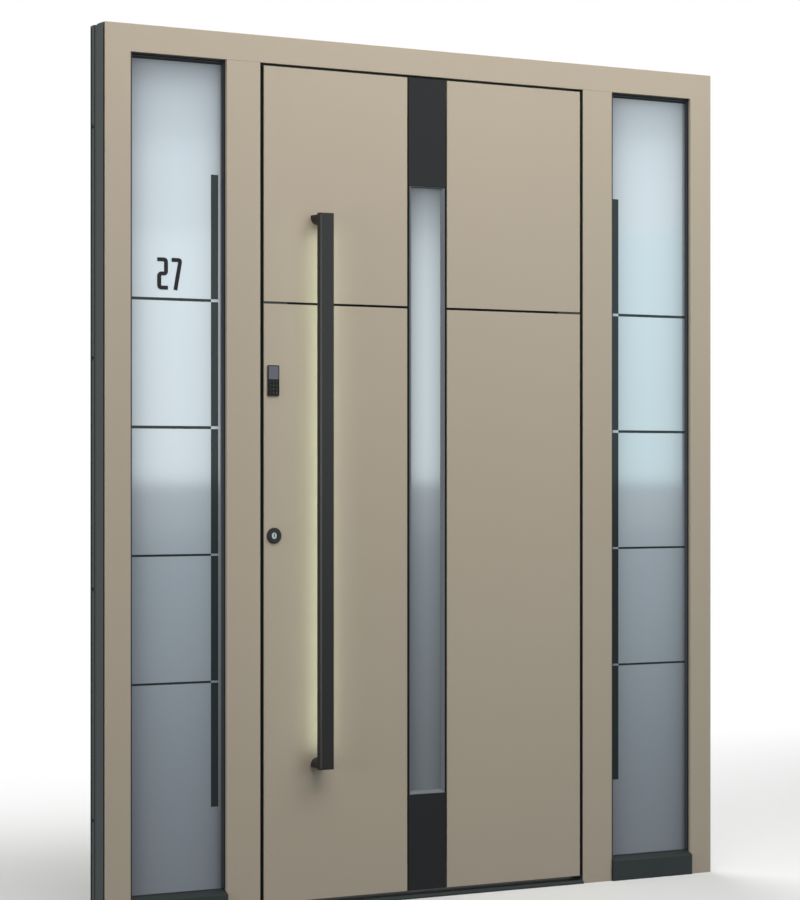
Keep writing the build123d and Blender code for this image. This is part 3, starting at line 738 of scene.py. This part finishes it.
def addFloor():
    half = floorLook["half"]
    mesh = bpy.data.meshes.new("floor")
    corners = [(-half, -half, 0), (half, -half, 0), (half, half, 0), (-half, half, 0)]
    mesh.from_pydata(corners, [], [(0, 1, 2, 3)])
    floor = bpy.data.objects.new("floor", mesh)
    bpy.context.collection.objects.link(floor)
    material, tree, shader = newMaterial("paleFloor", {
        "Roughness": floorLook["roughness"], "Specular IOR Level": 0.0})
    seen = seenRay(tree)
    shade = blendColor(tree, seen, floorLook["bounce"], floorLook["color"])
    tree.links.new(shade, shader.inputs["Base Color"])
    place = tree.nodes.new("ShaderNodeSeparateXYZ")
    tree.links.new(tree.nodes.new("ShaderNodeTexCoord").outputs["Object"], place.inputs[0])
    away = calc(tree, "MAXIMUM", span(tree, place.outputs["Y"], *floorLook["behind"], smooth=True),
                span(tree, place.outputs["Y"], *floorLook["before"], smooth=True))
    even = tree.nodes.new("ShaderNodeEmission")     # white further away, and an even grey in reflections
    glossy = tree.nodes.new("ShaderNodeLightPath").outputs["Is Glossy Ray"]
    tree.links.new(blendColor(tree, glossy, (1, 1, 1, 1), floorLook["mirrored"]), even.inputs["Color"])
    mix = tree.nodes.new("ShaderNodeMixShader")
    tree.links.new(calc(tree, "MAXIMUM", calc(tree, "MULTIPLY", away, seen), glossy), mix.inputs[0])
    tree.links.new(shader.outputs[0], mix.inputs[1])
    tree.links.new(even.outputs[0], mix.inputs[2])
    tree.links.new(mix.outputs[0], tree.nodes["Material Output"].inputs["Surface"])
    mesh.materials.append(material)


addFloor()


# light: a large soft lamp high in front and one behind; on the right, two panels side by side with two more
# above them, whose lower edge shows as a soft step in the glass; one more panel on the left
worldLook = {"fill": (0.94, 0.97, 1.0, 1), "fillStrength": 0.175}
panelColor = (0.87, 0.985, 1.0)
lamps = {
    "frontLamp": {"place": (0.3, -2.3, 4.4), "aim": (0.0, 0.0, 1.2),
                  "size": (5.0, 2.4), "power": 178.0, "color": (1.0, 0.985, 0.96), "shows": False},
    "leftPanel": {"place": (-6.0, -1.4, 1.0), "aim": (0.0, 0.0, 0.9),
                  "size": (2.6, 2.4), "power": 130.0, "color": (0.93, 0.97, 1.0), "shows": True},
    "rightPanelNear": {"place": (2.284, -5.688, 1.69), "aim": (-0.816, -0.488, 1.69),
                       "size": (2.7, 1.22), "power": 34.0, "color": panelColor, "shows": True},
    "rightPanelFar": {"place": (4.259, -4.508, 1.69), "aim": (1.159, 0.692, 1.69),
                      "size": (1.9, 1.22), "power": 19.0, "color": (0.66, 0.97, 1.0), "shows": True},
    "rightPanelMiddle": {"place": (3.1, -5.2, 2.525), "aim": (0.0, 0.0, 2.525),
                         "size": (4.6, 0.45), "power": 16.7, "color": panelColor, "shows": True},
    "rightPanelTop": {"place": (3.1, -5.2, 2.9), "aim": (0.0, 0.0, 2.9),
                      "size": (4.6, 0.3), "power": 8.0, "color": panelColor, "shows": True},
    "backLamp": {"place": (0.8, 4.0, 4.2), "aim": (0.0, 0.0, 1.1),
                 "size": (4.0, 2.0), "power": 190.0, "color": (1.0, 0.99, 0.97), "shows": False},
}


def addLamps():
    for name, look in lamps.items():
        data = bpy.data.lights.new(name, "AREA")
        data.shape = "RECTANGLE"
        data.size, data.size_y = look["size"]
        data.energy = look["power"]
        data.color = look["color"]
        lamp = bpy.data.objects.new(name, data)
        lamp.location = look["place"]
        aim = Vector(look["aim"]) - Vector(look["place"])
        lamp.rotation_euler = aim.to_track_quat("-Z", "Y").to_euler()
        lamp.visible_glossy = look["shows"]
        bpy.context.collection.objects.link(lamp)


def setWorld():
    world = bpy.data.worlds.new("studio")
    bpy.context.scene.world = world
    world.use_nodes = True
    tree = world.node_tree
    fill = tree.nodes["Background"]
    fill.inputs["Color"].default_value = worldLook["fill"]
    fill.inputs["Strength"].default_value = worldLook["fillStrength"]
    white = tree.nodes.new("ShaderNodeBackground")
    white.inputs["Color"].default_value = (1, 1, 1, 1)
    mix = tree.nodes.new("ShaderNodeMixShader")
    tree.links.new(seenRay(tree), mix.inputs[0])
    tree.links.new(fill.outputs[0], mix.inputs[1])
    tree.links.new(white.outputs[0], mix.inputs[2])
    tree.links.new(mix.outputs[0], tree.nodes["World Output"].inputs["Surface"])


addLamps()
setWorld()
print("floor and light ready")


# camera: a little over a metre up, well to the left, level, the horizon just under the picture's middle
cameraLook = {"place": (-3.676, -6.267, 1.1245), "turnRight": 30.0, "lens": 108.86, "rise": 24 / 900}
cameraData = bpy.data.cameras.new("camera")
cameraData.sensor_width = 36.0
cameraData.lens = cameraLook["lens"]
cameraData.shift_y = cameraLook["rise"]
camera = bpy.data.objects.new("camera", cameraData)
camera.location = cameraLook["place"]
camera.rotation_euler = (math.pi / 2, 0, -math.radians(cameraLook["turnRight"]))
bpy.context.collection.objects.link(camera)
bpy.context.scene.camera = camera
bpy.context.scene.view_settings.view_transform = "Standard"
